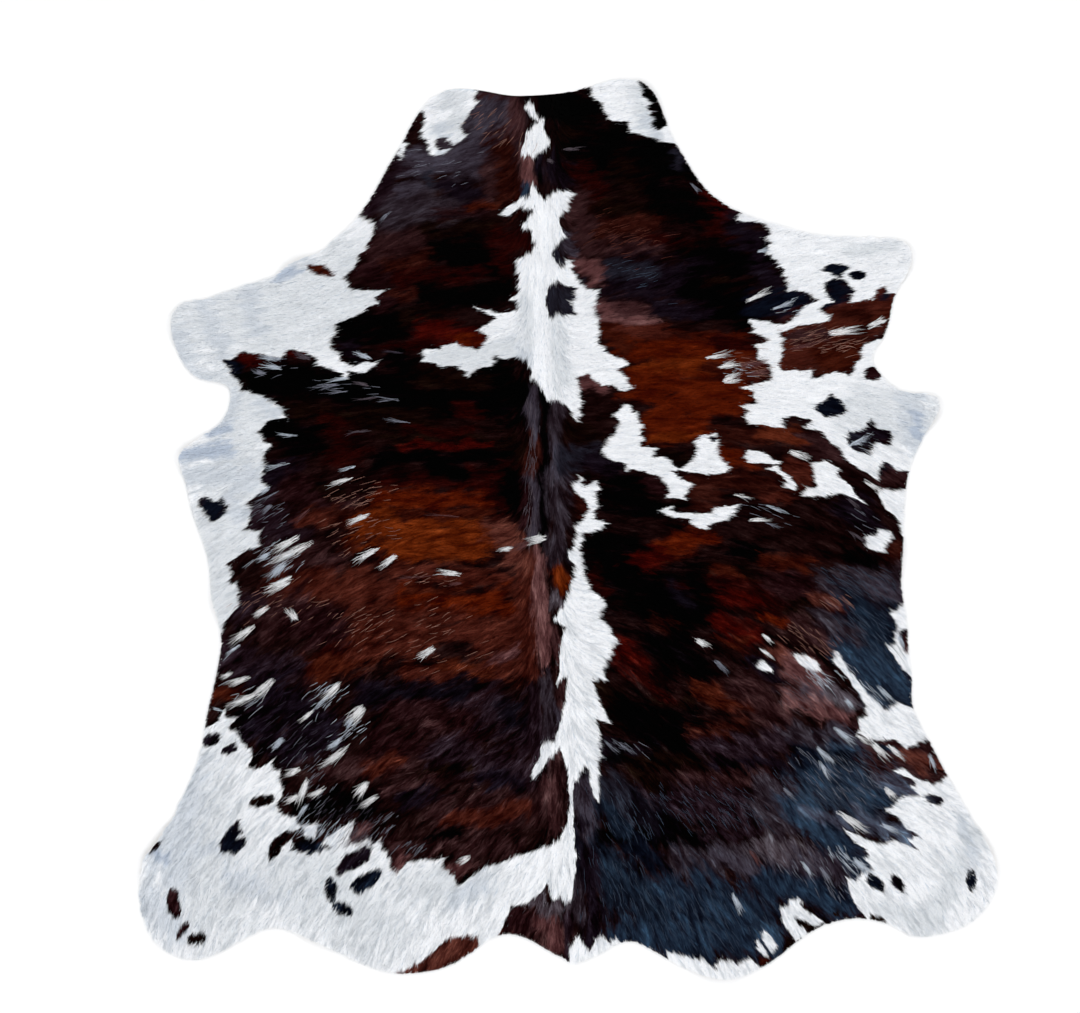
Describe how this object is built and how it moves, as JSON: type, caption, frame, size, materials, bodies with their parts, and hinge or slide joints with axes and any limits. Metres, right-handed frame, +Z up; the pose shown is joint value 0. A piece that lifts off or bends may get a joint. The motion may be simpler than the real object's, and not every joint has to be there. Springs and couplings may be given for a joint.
{
  "type": "cowhide rug",
  "caption": "Whole cowhide laid flat as a rug, with its hair on and an irregular outline of neck, forelegs, flanks and hind legs.",
  "frame": {"origin": "on the floor, under the middle of the hide's box", "axes": "+Z up out of the hair side, +Y along the backbone from the tail to the neck, +X across the hide towards its right foreleg as seen from above"},
  "size_m": [2.0606, 2.1636, 0.016],
  "materials": {
    "hair_on_hide": "short glossy hair over tanned leather: brindled black and red-brown with bluish white patches"
  },
  "bodies": {
    "root": {"hide": "hair_on_hide"}
  },
  "joints": []
}
